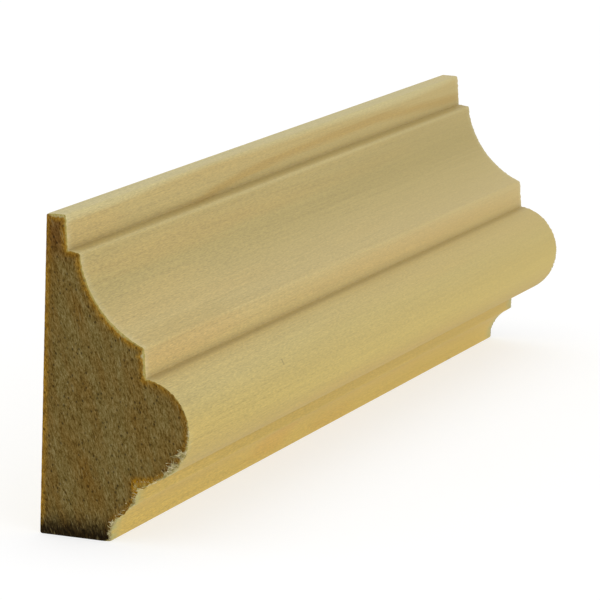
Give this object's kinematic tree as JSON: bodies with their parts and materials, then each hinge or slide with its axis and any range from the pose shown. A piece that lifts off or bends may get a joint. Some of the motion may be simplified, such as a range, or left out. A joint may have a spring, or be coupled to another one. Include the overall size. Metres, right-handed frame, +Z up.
{
  "type": "base cap moulding",
  "caption": "Short length of wooden base cap moulding with a flat back and a face moulded to a top fillet, a ledge, a cove, a bead and a narrow foot.",
  "frame": {"origin": "middle of the space that the moulding fills, at floor level, as it stands on its foot", "axes": "+X along the grain and the length, +Y out of the flat back, -Y out of the moulded face, +Z up to the top edge"},
  "size_m": [0.127, 0.017, 0.0349],
  "materials": {
    "wood": "bare, straight from the moulder, unsanded sawn ends"
  },
  "bodies": {
    "root": {"base_cap_moulding": "wood"}
  },
  "joints": []
}
